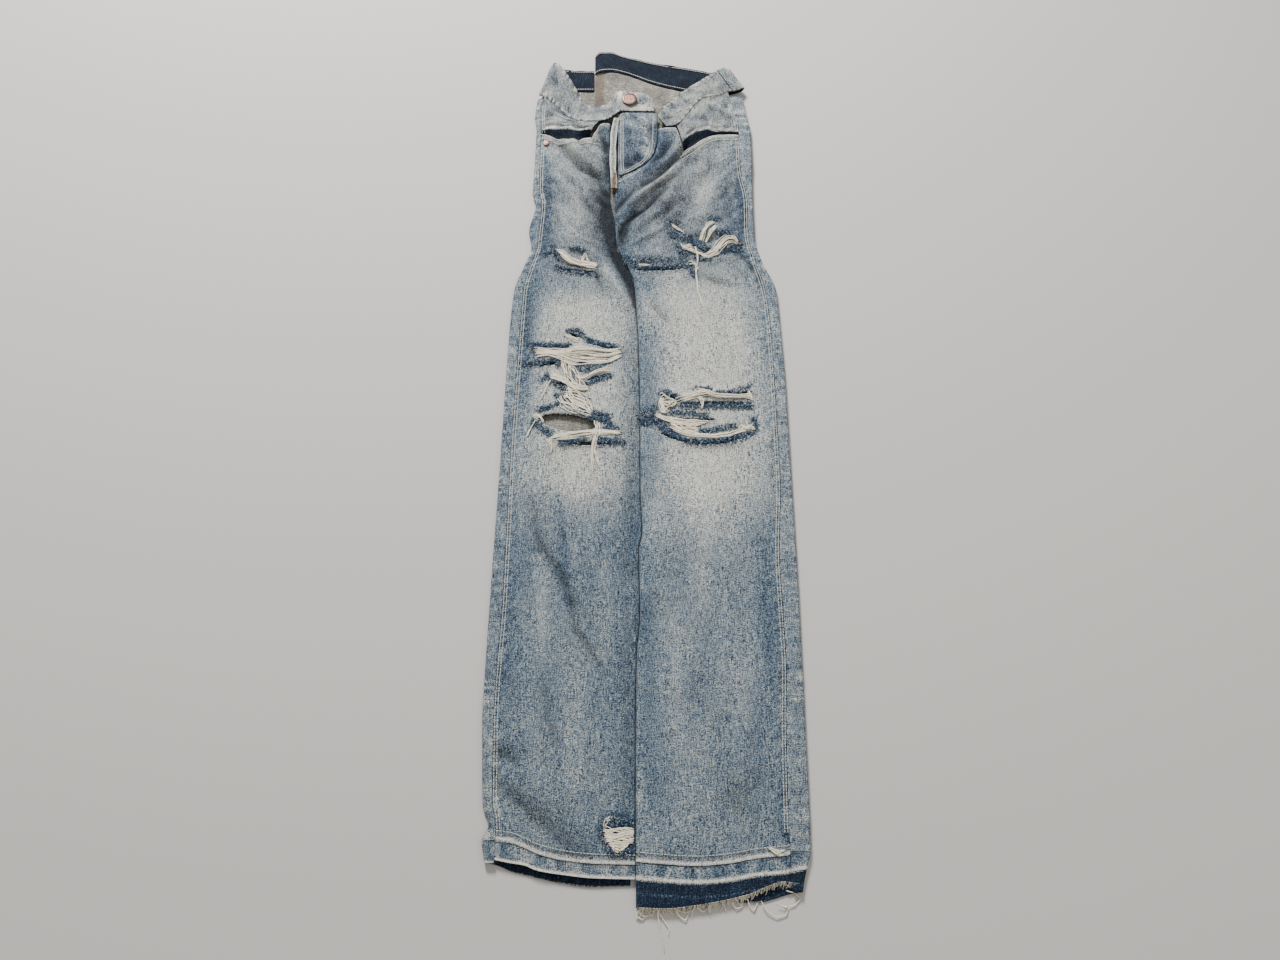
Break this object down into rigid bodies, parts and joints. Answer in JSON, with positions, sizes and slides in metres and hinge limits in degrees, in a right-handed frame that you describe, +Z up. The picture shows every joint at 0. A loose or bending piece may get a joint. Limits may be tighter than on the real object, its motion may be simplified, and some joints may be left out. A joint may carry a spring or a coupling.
{
  "type": "ripped jeans",
  "caption": "Faded ripped jeans lying on their back with the waist open, knees ripped through and one hem let down.",
  "frame": {"origin": "on the surface under the middle of the bounding box", "axes": "+Y from the hems to the waist, +Z up from the surface the jeans lie on, wearer's right leg on -X"},
  "size_m": [0.339, 1.1083, 0.0212],
  "materials": {
    "faded_denim": "washed, faded twill",
    "mid_denim": "worn mid blue twill",
    "unfaded_denim": "unfaded indigo twill",
    "denim_reverse": "reverse of the twill",
    "copper": "worn copper plating",
    "cotton_yarn": "frayed cotton yarn"
  },
  "bodies": {
    "root": {"back_left": "mid_denim", "back_pocket_left": "mid_denim", "back_pocket_right": "mid_denim", "back_right": "mid_denim", "belt_loop_back_centre": "mid_denim", "belt_loop_back_left": "mid_denim", "belt_loop_back_right": "mid_denim", "belt_loop_left_side": "mid_denim", "fly_edge": "faded_denim", "fly_stand": "mid_denim", "front_left": "faded_denim", "front_right": "faded_denim", "hem_fringe_left": "cotton_yarn", "hem_left_back": "unfaded_denim", "hem_left_front": "unfaded_denim", "hem_right_back": "mid_denim", "hem_right_front": "mid_denim", "pocket_facing_left": "mid_denim", "pocket_facing_right": "mid_denim", "rivet_right": "copper", "waist_button": "copper", "waistband_left": "unfaded_denim", "waistband_right": "unfaded_denim", "yoke_left": "denim_reverse", "yoke_right": "denim_reverse"}
  },
  "joints": []
}
